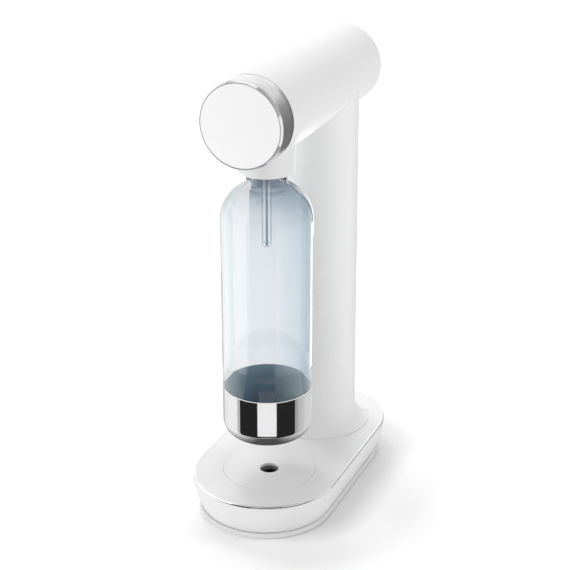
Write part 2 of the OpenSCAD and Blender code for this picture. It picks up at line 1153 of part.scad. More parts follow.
module bottle() {
    color("lightsteelblue", 0.4)
        at_bottle()
            difference() {
                union() {
                    rotate_extrude()
                        bottle_half(0);
                    rotate_extrude()
                        neck_fillet_half();
                    rod(neck_r, shoulder_z + 20, neck_top);
                    rod(mouth_r, neck_top - 1, mouth_z);
                }
                rotate_extrude()
                    bottle_half(bottle_wall);
                rod(neck_r - bottle_wall, shoulder_z + 20, neck_top - 5.4);
                translate([0, 0, neck_top - 5.5])
                    cylinder(r1 = neck_r - bottle_wall, r2 = mouth_bore, h = 3.5);
                rod(mouth_bore, neck_top - 3, mouth_z + 1);
            }
}

// Half section of the cup's solid at a distance inside its outer skin
module cup_half(inset) {
    r = bottle_r - inset;
    foot = cup_fillet - inset;
    translate([0, cup_z + inset])
        square([r - foot, cup_top - cup_z]);
    translate([0, cup_z + inset + foot])
        square([r, cup_top - cup_z - foot]);
    translate([r - foot, cup_z + inset + foot])
        circle(r = foot);
}

module bottle_cup() {
    color("silver")
        at_bottle()
            difference() {
                rotate_extrude()
                    cup_half(0);
                rotate_extrude()
                    cup_half(cup_wall);
            }
}

// ---------- the nodes ----------

base_shell();
base_trim();
base_pan();
rubber_feet();
base_screws();
drip_tray();
drain_grommet();
drip_cup();
column_shell();
rear_cover();
column_spine();
column_screws();
cylinder_cradle();
gas_cylinder();
cylinder_valve();
valve_pin();
valve_block();
cylinder_seal();
plunger();
plunger_spring();
rocker();
rocker_pin();
lock_lever();
lever_pins();
arm_shell();
arm_rear_cap();
arm_frame();
frame_screws();
front_bulkhead();
bulkhead_screws();
front_bush();
rear_bush();
knob_ring();
knob_face();
knob_hub();
knob_shaft();
knob_screw();
valve_cam();
shaft_clip();
bottle_collar();
bottle_holder();
holder_pins();
bottle_seal();
nozzle_head();
nozzle_tube();
nozzle_sleeve();
gas_manifold();
gas_pipe();
relief_valve();
relief_poppet();
relief_spring();
bottle();
bottle_cup();
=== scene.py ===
from math import asin, atan2, cos, degrees, hypot, pi, radians, sin, sqrt

import bmesh
import bpy
from mathutils import Matrix, Vector


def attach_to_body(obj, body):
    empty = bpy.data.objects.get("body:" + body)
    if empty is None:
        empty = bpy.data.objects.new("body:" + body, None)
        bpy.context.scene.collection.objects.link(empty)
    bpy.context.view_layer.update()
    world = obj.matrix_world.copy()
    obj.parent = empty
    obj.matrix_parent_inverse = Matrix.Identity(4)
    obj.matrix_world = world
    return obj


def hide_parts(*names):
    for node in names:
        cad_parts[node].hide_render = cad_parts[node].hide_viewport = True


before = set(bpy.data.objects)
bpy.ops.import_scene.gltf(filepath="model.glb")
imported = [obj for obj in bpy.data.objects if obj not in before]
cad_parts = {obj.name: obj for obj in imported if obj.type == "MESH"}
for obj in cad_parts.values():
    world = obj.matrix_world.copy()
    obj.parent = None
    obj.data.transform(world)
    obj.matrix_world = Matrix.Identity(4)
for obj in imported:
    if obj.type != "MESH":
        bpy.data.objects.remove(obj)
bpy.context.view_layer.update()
MM = 0.001

# Main sizes, in millimetres, nearly all as in the CAD source
BASE_R, BASE_END = 69.0, 62.5
BASE_H, DECK_Z, TRIM_Z, TRIM_W = 37.3, 37.0, 35.5, 1.8
SIDE_ARC, SIDE_WALL, SIDE_Z = 72.0, 3.0, 6.2
DECK_HOLE_R, LEDGE_R, LEDGE_Z = 34.6, 40.0, 34.0
COLUMN_Y, COLUMN_IN, SHAFT_TOP = 61.0, 35.0, 335.0
COLUMN_TOP_R, COLUMN_FOOT_R = 38.0, 39.5
FLARE_R, FLARE_FILLET, SILL = 54.0, 16.0, 1.2
COVER_HALF, COVER_GAP = 62.0, 0.4
ARM_Z, ARM_R, ARM_IN = 389.2, 38.8, 35.8
ARM_FRONT, ARM_REAR = -88.3, 125.0
KNOB_FRONT, POCKET_R, POCKET_Y = -113.5, 37.0, -108.7
RING_IN, RING_REAR, CHAMFER_W = 36.0, -89.2, 2.4
BOTTLE_Y, BOTTLE_R, BOTTLE_LOW_R = -59.0, 41.7, 40.6
CUP_Z, CUP_TOP, CUP_FILLET, CUP_WALL = 78.3, 127.9, 15.0, 1.0
SHOULDER_Z, SHOULDER_R, BOTTLE_WALL = 290.0, 35.6, 1.6
NECK_R, NECK_TOP, NECK_FILLET = 18.2, 333.0, 4.5
MOUTH_R, MOUTH_IN, MOUTH_Z = 15.0, 13.0, 352.3
COLLAR_R, COLLAR_IN, COLLAR_Z = 25.5, 23.6, 334.6
COLLAR_STEP_R, COLLAR_STEP_Z, COLLAR_HOLE_R = 24.5, 361.5, 24.6
SLEEVE_R, SLEEVE_IN, SLEEVE_BORE = 4.3, 3.6, 1.3
SLEEVE_LOW, SLEEVE_TOP = 263.2, 352.4
TRAY_Y, TRAY_R, TRAY_UNDER = -56.0, 44.0, 32.4
DRAIN_R, DRAIN_OUT, DRAIN_LIP = 9.0, 9.6, 10.2
# The drain's bore is painted dark with shade below the third of these heights
DRAIN_TOP, DRAIN_SEAT, DRAIN_SHADE_TOP, DRAIN_LOW = 36.0, 34.6, 33.3, 29.0


# ---------- materials ----------


def new_material(name):
    mat = bpy.data.materials.new(name)
    mat.use_nodes = True
    tree = mat.node_tree
    shader = tree.nodes["Principled BSDF"]
    return mat, tree, shader


def noise(tree, scale, detail=3.0, stretch=(1, 1, 1)):
    coord = tree.nodes.new("ShaderNodeTexCoord")
    mapping = tree.nodes.new("ShaderNodeMapping")
    mapping.inputs["Scale"].default_value = stretch
    tex = tree.nodes.new("ShaderNodeTexNoise")
    tex.inputs["Scale"].default_value = scale
    tex.inputs["Detail"].default_value = detail
    tree.links.new(coord.outputs["Object"], mapping.inputs["Vector"])
    tree.links.new(mapping.outputs["Vector"], tex.inputs["Vector"])
    return tex.outputs["Fac"]


def remap(tree, value, low, high):
    node = tree.nodes.new("ShaderNodeMapRange")
    node.inputs["To Min"].default_value = low
    node.inputs["To Max"].default_value = high
    tree.links.new(value, node.inputs["Value"])
    return node.outputs["Result"]


def ramp(tree, value, stops):
    node = tree.nodes.new("ShaderNodeValToRGB")
    elements = node.color_ramp.elements
    while len(elements) < len(stops):
        elements.new(0.5)
    for element, (place, color) in zip(elements, stops):
        element.position = place
        element.color = (*color, 1)
    tree.links.new(value, node.inputs["Fac"])
    return node.outputs["Color"]


def finish_material(
    name,
    color,
    rough,
    metallic=0.0,
    spread=0.04,
    grain=1200.0,
    bump=0.02,
    stretch=(1, 1, 1),
    tone=0.02,
    specular=0.5,
    anisotropy=0.0,
    coat=0.0,
):
    """A surface with a fine grain: colour, roughness and bump all vary a little."""
    mat, tree, shader = new_material(name)
    shader.inputs["Metallic"].default_value = metallic
    shader.inputs["Specular IOR Level"].default_value = specular
    shader.inputs["Anisotropic"].default_value = anisotropy
    shader.inputs["Coat Weight"].default_value = coat
    fine = noise(tree, grain, 4.0, stretch)
    broad = noise(tree, 14.0, 2.0)
    dark = tuple(c * (1 - tone) for c in color)
    light = tuple(min(1.0, c * (1 + tone)) for c in color)
    tree.links.new(
        ramp(tree, broad, [(0.3, dark), (0.7, light)]), shader.inputs["Base Color"]
    )
    tree.links.new(
        remap(tree, fine, rough - spread, rough + spread), shader.inputs["Roughness"]
    )
    node = tree.nodes.new("ShaderNodeBump")
    node.inputs["Strength"].default_value = bump
    node.inputs["Distance"].default_value = 0.0002
    tree.links.new(fine, node.inputs["Height"])
    tree.links.new(node.outputs["Normal"], shader.inputs["Normal"])
    return mat


WHITE = finish_material("satin_white", (0.84, 0.84, 0.84), 0.42, bump=0.05, tone=0.006)
FACE_WHITE = finish_material(
    "face_white", (0.87, 0.87, 0.87), 0.5, bump=0.04, tone=0.005
)
# A greyer white for the collar: painted shade where it sits under the arm
COLLAR_PAINTED_SHADE = finish_material(
    "collar_white_painted_shade", (0.76, 0.76, 0.76), 0.42, bump=0.05, tone=0.006
)
SOLE = finish_material("sole_white", (0.80, 0.80, 0.80), 0.5, bump=0.08)
# Dark grey in the drain's bore and in the drip cup: painted shade down the hole
BORE_PAINTED_SHADE = finish_material("bore_painted_shade", (0.22, 0.22, 0.225), 0.4, bump=0.1)
LIP = finish_material("satin_lip", (0.90, 0.90, 0.91), 0.3, 0.1, bump=0.05)
RUBBER = finish_material("black_rubber", (0.03, 0.03, 0.03), 0.75, bump=0.3, grain=2500)
SEAL = finish_material("seal_rubber", (0.05, 0.05, 0.055), 0.65, bump=0.2, grain=2500)
CHROME = finish_material(
    "polished_trim", (0.90, 0.90, 0.91), 0.07, 1.0, spread=0.02, bump=0.01
)
RING = finish_material(
    "brushed_ring",
    (0.80, 0.80, 0.81),
    0.24,
    1.0,
    spread=0.06,
    grain=60,
    bump=0.3,
    stretch=(1, 60, 1),
)
CHAMFER = finish_material(
    "polished_chamfer", (0.90, 0.90, 0.91), 0.12, 1.0, spread=0.02, bump=0.01
)
CUP = finish_material(
    "polished_steel", (0.86, 0.86, 0.87), 0.055, 1.0, spread=0.015, bump=0.012
)
STEEL = finish_material(
    "machined_steel",
    (0.56, 0.57, 0.58),
    0.34,
    1.0,
    spread=0.08,
    grain=300,
    bump=0.15,
    stretch=(1, 1, 8),
)
TUBE_STEEL = finish_material("tube_steel", (0.05, 0.09, 0.14), 0.35, 0.4, bump=0.1)
SCREW = finish_material("zinc_plate", (0.66, 0.67, 0.68), 0.3, 1.0, bump=0.1)
FRAME_GREY = finish_material("frame_grey", (0.20, 0.205, 0.215), 0.5, bump=0.2)
HOLDER_GREY = finish_material("holder_grey", (0.62, 0.63, 0.64), 0.45, bump=0.1)
RED = finish_material("lever_red", (0.45, 0.02, 0.02), 0.35, bump=0.06, coat=0.3)
BEARING = finish_material("bearing_cream", (0.66, 0.60, 0.44), 0.5, bump=0.1)
BRASS = finish_material("turned_brass", (0.70, 0.50, 0.22), 0.28, 1.0, bump=0.1)
CAST = finish_material(
    "die_cast", (0.50, 0.51, 0.52), 0.45, 1.0, grain=700, bump=0.35, spread=0.1
)
ENAMEL = finish_material("cylinder_enamel", (0.14, 0.18, 0.22), 0.35, bump=0.1, coat=0.4)


def glass(name, tint, rough, ior):
    """Clear glass that lets light through its shadow."""
    mat, tree, shader = new_material(name)
    shader.inputs["Transmission Weight"].default_value = 1.0
    shader.inputs["IOR"].default_value = ior
    tree.links.new(
        remap(tree, noise(tree, 20.0), max(0.0, rough - 0.004), rough + 0.004),
        shader.inputs["Roughness"],
    )
    tree.links.new(
        ramp(
            tree,
            noise(tree, 9.0),
            [(0.2, tint), (0.8, tuple(min(1, c * 1.006) for c in tint))],
        ),
        shader.inputs["Base Color"],
    )
    out = tree.nodes["Material Output"]
    path = tree.nodes.new("ShaderNodeLightPath")
    clear = tree.nodes.new("ShaderNodeBsdfTransparent")
    clear.inputs["Color"].default_value = (*[c**0.5 for c in tint], 1)
    mix = tree.nodes.new("ShaderNodeMixShader")
    tree.links.new(path.outputs["Is Shadow Ray"], mix.inputs["Fac"])
    tree.links.new(shader.outputs["BSDF"], mix.inputs[1])
    tree.links.new(clear.outputs["BSDF"], mix.inputs[2])
    tree.links.new(mix.outputs["Shader"], out.inputs["Surface"])
    return mat


BOTTLE_GLASS = glass("bottle_glass", (0.955, 0.975, 0.985), 0.004, 1.45)


def thin_clear(name, edge, middle):
    """A thin clear wall: nearly invisible face on, blue grey towards its edges."""
    mat, tree, shader = new_material(name)
    facing = tree.nodes.new("ShaderNodeLayerWeight")
    facing.inputs["Blend"].default_value = 0.5
    clear = tree.nodes.new("ShaderNodeBsdfTransparent")
    tree.links.new(
        ramp(tree, facing.outputs["Facing"], [(0.52, middle), (0.80, edge)]),
        clear.inputs["Color"],
    )
    shader.inputs["Base Color"].default_value = (0.9, 0.93, 0.95, 1)
    tree.links.new(
        remap(tree, noise(tree, 200.0), 0.05, 0.12), shader.inputs["Roughness"]
    )
    mix = tree.nodes.new("ShaderNodeMixShader")
    mix.inputs["Fac"].default_value = 0.10
    tree.links.new(clear.outputs["BSDF"], mix.inputs[1])
    tree.links.new(shader.outputs["BSDF"], mix.inputs[2])
    tree.links.new(mix.outputs["Shader"], tree.nodes["Material Output"].inputs["Surface"])
    return mat


SLEEVE_GLASS = thin_clear("sleeve_clear", (0.42, 0.50, 0.56), (0.985, 0.99, 0.995))


def cup_inside_material():
    """Bare steel seen through the glass: slate blue, with painted shade that darkens it
    towards the bottom, and upright lighter zones that are painted reflections."""
    mat, tree, shader = new_material("cup_inside")
    coord = tree.nodes.new("ShaderNodeTexCoord")
    split = tree.nodes.new("ShaderNodeSeparateXYZ")
    tree.links.new(coord.outputs["Object"], split.inputs["Vector"])
    height = tree.nodes.new("ShaderNodeMapRange")
    height.inputs["From Min"].default_value = 88 * MM
    height.inputs["From Max"].default_value = CUP_TOP * MM
    tree.links.new(split.outputs["Z"], height.inputs["Value"])
    # Painted shade: the steel's colour darkens towards the cup's bottom
    shade = [
        (0.0, (0.0, 0.05, 0.14)),
        (0.3, (0.03, 0.18, 0.33)),
        (0.48, (0.11, 0.31, 0.48)),
        (0.66, (0.23, 0.42, 0.57)),
        (1.0, (0.36, 0.56, 0.69)),
    ]
    light = [(0.0, (0.42, 0.66, 0.85)), (0.4, (0.75, 0.95, 1.0)), (1.0, (0.78, 0.96, 1.0))]
    behind = tree.nodes.new("ShaderNodeMath")
    behind.operation = "SUBTRACT"
    behind.inputs[1].default_value = BOTTLE_Y * MM
    tree.links.new(split.outputs["Y"], behind.inputs[0])
    angle = tree.nodes.new("ShaderNodeMath")
    angle.operation = "ARCTAN2"
    tree.links.new(split.outputs["X"], angle.inputs[0])
    tree.links.new(behind.outputs["Value"], angle.inputs[1])
    turn = tree.nodes.new("ShaderNodeMapRange")
    turn.inputs["From Min"].default_value = -pi / 2
    turn.inputs["From Max"].default_value = pi / 2
    tree.links.new(angle.outputs["Value"], turn.inputs["Value"])
    # Painted reflections: weights of the lighter zones by the angle round the bottle's axis
    painted_reflection_zones = [(-90, 0.25), (-80, 0.45), (-58, 0.42), (-55, 0.0), (-16, 0.0), (-12, 0.45)]
    painted_reflection_zones += [(-4, 0.6), (3, 0.8), (18, 1.0), (27, 1.0), (30, 0.2), (60, 0.1)]
    mix = tree.nodes.new("ShaderNodeMix")
    mix.data_type = "RGBA"
    tree.links.new(
        ramp(tree, turn.outputs["Result"], [(a / 180 + 0.5, (w, w, w)) for a, w in painted_reflection_zones]),
        mix.inputs["Factor"],
    )
    tree.links.new(ramp(tree, height.outputs["Result"], shade), mix.inputs["A"])
    tree.links.new(ramp(tree, height.outputs["Result"], light), mix.inputs["B"])
    tree.links.new(mix.outputs["Result"], shader.inputs["Base Color"])
    tree.links.new(
        remap(tree, noise(tree, 300.0), 0.30, 0.42), shader.inputs["Roughness"]
    )
    shader.inputs["Specular IOR Level"].default_value = 0.05
    return mat


# Slate blue steel with painted shade and painted reflections
CUP_INSIDE_PAINTED_LIGHT = cup_inside_material()

NODE_MATERIALS = {
    WHITE: "base_shell column_shell rear_cover arm_shell arm_rear_cap drip_tray",
    COLLAR_PAINTED_SHADE: "bottle_collar",
    FACE_WHITE: "knob_face",
    SOLE: "base_pan",
    RUBBER: "rubber_feet",
    SEAL: "cylinder_seal bottle_seal",
    CHROME: "base_trim drain_grommet",
    RING: "knob_ring",
    CUP: "bottle_cup",
    STEEL: "column_spine valve_pin plunger plunger_spring rocker rocker_pin lever_pins "
    "knob_shaft valve_cam shaft_clip holder_pins gas_pipe relief_poppet relief_spring",
    TUBE_STEEL: "nozzle_tube",
    SCREW: "base_screws column_screws frame_screws bulkhead_screws knob_screw",
    FRAME_GREY: "cylinder_cradle arm_frame front_bulkhead knob_hub",
    HOLDER_GREY: "bottle_holder",
    BORE_PAINTED_SHADE: "drip_cup",
    RED: "lock_lever",
    BEARING: "front_bush rear_bush",
    BRASS: "cylinder_valve nozzle_head relief_valve",
    CAST: "valve_block gas_manifold",
    ENAMEL: "gas_cylinder",
    BOTTLE_GLASS: "bottle",
    SLEEVE_GLASS: "nozzle_sleeve",
}
for material, names in NODE_MATERIALS.items():
    for node_name in names.split():
        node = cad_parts[node_name]
        node.data.materials.clear()
        node.data.materials.append(material)


# ---------- mesh building ----------


def rounded(points, steps=5):
    """Closed outline of (a, b, fillet) corners, each rounded with its own arc."""
    out = []
    count = len(points)
    for i, (a, b, fillet) in enumerate(points):
        here = Vector((a, b))
        if fillet <= 0:
            out.append((a, b))
            continue
        before = Vector(points[i - 1][:2]) - here
        after = Vector(points[(i + 1) % count][:2]) - here
        half = before.angle(after) / 2
        reach = min(
            fillet * cos(half) / sin(half), 0.49 * before.length, 0.49 * after.length
        )
        start, end = here + before.normalized() * reach, here + after.normalized() * reach
        radius = reach * sin(half) / cos(half)
        middle = here + (before.normalized() + after.normalized()).normalized() * (
            radius / sin(half)
        )
        a0 = atan2(start.y - middle.y, start.x - middle.x)
        a1 = atan2(end.y - middle.y, end.x - middle.x)
        turn = (a1 - a0 + pi) % (2 * pi) - pi
        for k in range(steps + 1):
            angle = a0 + turn * k / steps
            out.append((middle.x + radius * cos(angle), middle.y + radius * sin(angle)))
    return out


def arc(cx, cy, radius, start, end, steps):
    """Points of an arc, with its angles in degrees."""
    return [
        (
            cx + radius * cos(radians(start + (end - start) * k / steps)),
            cy + radius * sin(radians(start + (end - start) * k / steps)),
        )
        for k in range(steps + 1)
    ]


SHARP = 32  # Edges that turn more than this, in degrees, look sharp


def build(name, verts, faces, materials, sharp=SHARP, pick=None):
    """Turns lists of points and faces into an object. The pick gives a face's
    material from its centre, in millimetres, and its normal."""
    mesh = bpy.data.meshes.new(name)
    mesh.from_pydata([Vector(v) * MM for v in verts], [], faces)
    work = bmesh.new()
    work.from_mesh(mesh)
    bmesh.ops.remove_doubles(work, verts=work.verts, dist=1e-7)
    bmesh.ops.dissolve_degenerate(work, edges=work.edges, dist=1e-8)
    bmesh.ops.recalc_face_normals(work, faces=work.faces)
    if pick:
        for face in work.faces:
            centre = face.calc_center_median() / MM
            face.material_index = pick(centre, face.normal)
    work.to_mesh(mesh)
    work.free()
    for mat in materials:
        mesh.materials.append(mat)
    mesh.shade_smooth()
    mesh.set_sharp_from_angle(angle=radians(sharp))
    obj = bpy.data.objects.new(name, mesh)
    bpy.context.scene.collection.objects.link(obj)
    return obj


def attach(obj, body, nodes):
    """Puts an object on a body, in place of CAD nodes."""
    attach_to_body(obj, body)
    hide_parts(*nodes)


def make(name, verts, faces, body, nodes, slot, materials, **look):
    attach(build(name, verts, faces, materials, **look), body, nodes)


def about_z(cy):
    return lambda r, h, a: (r * cos(a), cy + r * sin(a), h)


def about_arm(r, h, a):
    return (r * cos(a), h, ARM_Z + r * sin(a))


def skin(count, segments, whole=True, closed=True):
    """Quads between the copies of a line of points that stand side by side. They
    meet again where the row is whole, and a closed line has walls where it isn't."""
    rings = segments if whole else segments + 1
    faces = []
    for i in range(segments):
        j = (i + 1) % rings
        for k in range(count if closed else count - 1):
            n = (k + 1) % count
            faces.append((i * count + k, i * count + n, j * count + n, j * count + k))
    if closed and not whole:
        faces += [tuple(ring * count + k for k in range(count)) for ring in (0, segments)]
    return faces


def turned(profile, place, segments=192, closed=True, start=0.0, end=360.0):
    """Points and faces of a profile turned about an axis."""
    whole = end - start == 360
    verts = [
        place(r, h, radians(start + (end - start) * i / segments))
        for i in range(segments if whole else segments + 1)
        for r, h in profile
    ]
    return verts, skin(len(profile), segments, whole, closed)


def outline(inset, steps=72, straight=10):
    """Points of the stadium outline at a distance inside the widest edge."""
    radius = BASE_R - inset
    points = []
    for sign, start in ((1, 0), (-1, 180)):
        points += arc(0, sign * BASE_END, radius, start, start + 180, steps)
        for k in range(1, straight):
            points.append((-sign * radius, sign * BASE_END * (1 - 2 * k / straight)))
    return points


def swept(profile):
    """Points and faces of a closed profile of (inset, height) round the stadium."""
    count = len(profile)
    loops = [outline(inset) for inset, _ in profile]
    around = len(loops[0])
    verts = [
        (*loops[k][i], profile[k][1]) for i in range(around) for k in range(count)
    ]
    return verts, skin(count, around)


def join(*parts):
    verts, faces = [], []
    for more_verts, more_faces in parts:
        base = len(verts)
        verts += more_verts
        faces += [tuple(base + i for i in face) for face in more_faces]
    return verts, faces


# ---------- base ----------


def side_inset(z, wall=0.0):
    """Inset of the side wall at a height: an arc that is upright at the top."""
    return SIDE_ARC - sqrt((SIDE_ARC - wall) ** 2 - (BASE_H - z) ** 2)


def base_deck():
    """The deck as a ring from the stadium edge to the tray's opening, its wall
    down to the tray's ledge, and the hole under the column."""
    apart = COLUMN_Y - TRAY_Y
    span = asin(DECK_HOLE_R / apart)
    angles = [2 * pi * i / 240 for i in range(240)] + [pi / 2 - span, pi / 2 + span]
    angles.sort()
    steps = len(angles)
    radius = BASE_R - TRIM_W + 0.4
    opening = TRAY_R + 0.1

    def edge(angle):
        """The stadium's edge in a direction from the tray's centre, by halving."""
        low, high = 0.0, 300.0
        for _ in range(40):
            mid = (low + high) / 2
            x, y = mid * cos(angle), TRAY_Y + mid * sin(angle)
            if hypot(x, max(0.0, abs(y) - BASE_END)) < radius:
                low = mid
            else:
                high = mid
        return low

    edges = [edge(angle) for angle in angles]
    loops = [(edges, LEDGE_Z), (edges, DECK_Z)]
    for r, z in (
        (opening + 0.35, DECK_Z),
        (opening + 0.1, DECK_Z - 0.1),
        (opening, DECK_Z - 0.35),
        (opening, LEDGE_Z),
        (LEDGE_R, LEDGE_Z),
        (LEDGE_R, LEDGE_Z - 2.6),
    ):
        loops.append(([r] * steps, z))
    verts = []
    for reaches, z in loops:
        for angle, r in zip(angles, reaches):
            verts.append((r * cos(angle), TRAY_Y + r * sin(angle), z))
    # Two points on the column's hole in each direction that meets it
    rim = {}
    for i, angle in enumerate(angles):
        lean = angle - pi / 2
        if abs(lean) < span + 1e-9:
            half = sqrt(max(0.0, DECK_HOLE_R**2 - (apart * sin(lean)) ** 2))
            rim[i] = (len(verts), len(verts) + 1)
            for reach in (apart * cos(lean) + half, apart * cos(lean) - half):
                verts.append((reach * cos(angle), TRAY_Y + reach * sin(angle), DECK_Z))
    faces = []
    for k in range(len(loops) - 1):
        for i in range(steps):
            j = (i + 1) % steps
            outer = (k * steps + i, k * steps + j)
            inner = ((k + 1) * steps + j, (k + 1) * steps + i)
            if k == 1 and i in rim and j in rim:
                faces.append(outer + (rim[j][0], rim[i][0]))
                faces.append((rim[i][1], rim[j][1]) + inner)
            else:
                faces.append(outer + inner)
    return verts, faces


def side_profile():
    """The side wall's outer line upwards, the seat of the trim, and its inner line."""
    heights = [7.4] + list(range(9, 35, 2)) + [TRIM_Z - 0.2]
    outer = [(side_inset(SIDE_Z + 0.1) + 0.6, SIDE_Z)]
    outer += [(side_inset(SIDE_Z + 0.5) + 0.12, SIDE_Z + 0.3)]
    outer += [(side_inset(z), z) for z in heights]
    seat = [(0.25, TRIM_Z - 0.02), (TRIM_W, TRIM_Z - 0.02)]
    seat += [(TRIM_W, DECK_Z - 0.02), (SIDE_WALL + 0.2, DECK_Z - 0.02)]
    inner = [(side_inset(z, SIDE_WALL), z) for z in (33, 27, 21, 15, 9, SIDE_Z)]
    return outer + seat + inner


make(
    "base_shell_skin",
    *join(swept(side_profile()), base_deck()),
    "stand",
    ["base_shell"],
    "white_shell",
    [WHITE],
)
trim = [(0.02, TRIM_Z, 0.25), (TRIM_W, TRIM_Z, 0)]
trim += [(TRIM_W, BASE_H, 0.3), (0.02, BASE_H, 0.85)]
make(
    "base_trim_band",
    *swept(rounded(trim, 6)),
    "stand",
    ["base_trim"],
    "bright_trim",
    [CHROME],
)


# ---------- drip tray ----------

# The bowl's radii and its depths below the deck
bowl = [(13, 1.30), (20, 1.24), (30, 1.14), (36, 1.02), (38.5, 0.88), (40.5, 0.64)]
bowl += [(42, 0.35), (43, 0.12), (43.6, 0.02), (43.9, 0.0), (TRAY_R, 0.05)]
dish = [(DRAIN_LIP + 0.05, 35.2), (DRAIN_LIP + 0.05, 35.66)]
dish += [(r, DECK_Z - depth) for r, depth in bowl]
dish += [(TRAY_R, LEDGE_Z + 0.05), (LEDGE_R - 0.8, LEDGE_Z), (LEDGE_R - 0.8, TRAY_UNDER)]
dish += [(DRAIN_OUT + 0.05, TRAY_UNDER), (DRAIN_OUT + 0.05, DRAIN_SEAT)]
dish += [(DRAIN_LIP + 0.05, DRAIN_SEAT)]
make(
    "drip_tray_dish",
    *turned(dish, about_z(TRAY_Y)),
    "drip_tray",
    ["drip_tray"],
    "white_shell",
    [WHITE],
    sharp=40,
)
# The bore's lower wall takes the dark grey of painted shade
grommet = rounded(
    [
        (DRAIN_R, DRAIN_SHADE_TOP, 0),
        (DRAIN_R, DRAIN_LOW, 0.1),
        (DRAIN_OUT, DRAIN_LOW, 0.1),
        (DRAIN_OUT, DRAIN_SEAT, 0),
        (DRAIN_LIP, DRAIN_SEAT, 0),
        (DRAIN_LIP, DRAIN_TOP, 0.35),
        (DRAIN_R, DRAIN_TOP, 0.5),
    ]
)
make(
    "drain_grommet_ring",
    *turned(grommet, about_z(TRAY_Y), 96),
    "drip_tray",
    ["drain_grommet"],
    "bright_trim",
    [LIP, BORE_PAINTED_SHADE],
    pick=lambda c, n: int(hypot(c.x, c.y - TRAY_Y) < DRAIN_R + 0.06 and c.z < DRAIN_SHADE_TOP),
)


# ---------- column ----------


FLARE_TOP = DECK_Z + SILL + FLARE_FILLET


def column_radius(z):
    """Radius of the column: a slight taper over a concave flare."""
    if z >= FLARE_TOP:
        share = (z - FLARE_TOP) / (ARM_Z - FLARE_TOP)
        return COLUMN_FOOT_R + (COLUMN_TOP_R - COLUMN_FOOT_R) * share
    drop = FLARE_TOP - z
    return COLUMN_FOOT_R + FLARE_FILLET - sqrt(max(0.0, FLARE_FILLET**2 - drop**2))


def column_part(z_low, start, end, gap, steps):
    """A sector of the column, from its foot up to the arm's underside."""
    centre_r = COLUMN_FOOT_R + FLARE_FILLET
    edge_z = FLARE_TOP - sqrt(FLARE_FILLET**2 - (centre_r - FLARE_R) ** 2)
    foot = [(COLUMN_IN, z_low), (FLARE_R - 0.25, z_low)]
    if z_low < edge_z - 0.5:
        foot += [(FLARE_R, z_low + 0.25), (FLARE_R, edge_z - 0.15)]
    first = degrees(atan2(edge_z - FLARE_TOP, FLARE_R - centre_r)) - 1.2
    foot += arc(centre_r, FLARE_TOP, FLARE_FILLET, first, -180, 20)
    shaft = [FLARE_TOP + (SHAFT_TOP - FLARE_TOP) * k / 8 for k in range(1, 9)]
    verts = []
    for i in range(steps + 1):
        angle = radians(start + (end - start) * i / steps)
        c, s = cos(angle), sin(angle)

        def top(r):
            return ARM_Z - sqrt((ARM_R + gap) ** 2 - (r * c) ** 2)

        z_top = top(column_radius(SHAFT_TOP))
        for _ in range(3):
            z_top = top(column_radius(z_top))
        heights = shaft + [SHAFT_TOP + (z_top - SHAFT_TOP) * k / 4 for k in range(1, 5)]
        rise = top(COLUMN_IN) - z_low
        line = foot + [(column_radius(z), z) for z in heights]
        line += [(COLUMN_IN, z_low + rise * k / 8) for k in range(8, 0, -1)]
        verts += [(r * c, COLUMN_Y + r * s, z) for r, z in line]
    return verts, skin(len(line), steps, whole=False)


sill = [(COLUMN_IN, DECK_Z, 0), (FLARE_R, DECK_Z, 0)]
sill += [(FLARE_R, DECK_Z + SILL, 0.2), (COLUMN_IN, DECK_Z + SILL, 0)]
sill_arc = (100, True, 90 - COVER_HALF, 90 + COVER_HALF)
make(
    "column_skin",
    *join(
        column_part(DECK_Z, 90 + COVER_HALF, 450 - COVER_HALF, 0.05, 150),
        turned(rounded(sill), about_z(COLUMN_Y), *sill_arc),
    ),
    "stand",
    ["column_shell"],
    "white_shell",
    [WHITE],
)
slit = degrees(COVER_GAP / COLUMN_IN)
make(
    "rear_cover_skin",
    *column_part(
        DECK_Z + SILL + 0.3, 90 - COVER_HALF + slit, 90 + COVER_HALF - slit, COVER_GAP, 90
    ),
    "rear_cover",
    ["rear_cover"],
    "white_shell",
    [WHITE],
)


# ---------- arm ----------


def cut(obj, radius, y, z_low=345.0, z_high=ARM_Z):
    """Cuts an upright round hole through the underside of the arm's tube."""
    tool = bpy.data.meshes.new("hole")
    work = bmesh.new()
    bmesh.ops.create_cone(
        work,
        cap_ends=True,
        segments=128,
        radius1=radius * MM,
        radius2=radius * MM,
        depth=(z_high - z_low) * MM,
        matrix=Matrix.Translation((0, y * MM, (z_low + z_high) / 2 * MM)),
    )
    work.to_mesh(tool)
    work.free()
    cutter = bpy.data.objects.new("hole", tool)
    bpy.context.scene.collection.objects.link(cutter)
    change = obj.modifiers.new("hole", "BOOLEAN")
    change.operation = "DIFFERENCE"
    change.solver = "EXACT"
    change.object = cutter
    bpy.context.view_layer.update()
    mesh = bpy.data.meshes.new_from_object(
        obj.evaluated_get(bpy.context.evaluated_depsgraph_get())
    )
    obj.modifiers.clear()
    obj.data = mesh
    bpy.data.objects.remove(cutter)


def tube_normals(obj):
    """Normals of the arm's tube from its shape, so that the holes leave no marks."""
    mesh = obj.data
    normals = []
    for face in mesh.polygons:
        flat = abs(face.normal.y) > 0.9
        for index in face.vertices:
            co = mesh.vertices[index].co
            out = Vector((co.x, 0, co.z - ARM_Z * MM)).normalized()
            side = out.dot(face.normal)
            if flat or abs(side) < 0.97 or abs(face.normal.y) > 0.02:
                normals.append(face.normal.copy())
            else:
                normals.append(out if side > 0 else -out)
    return normals


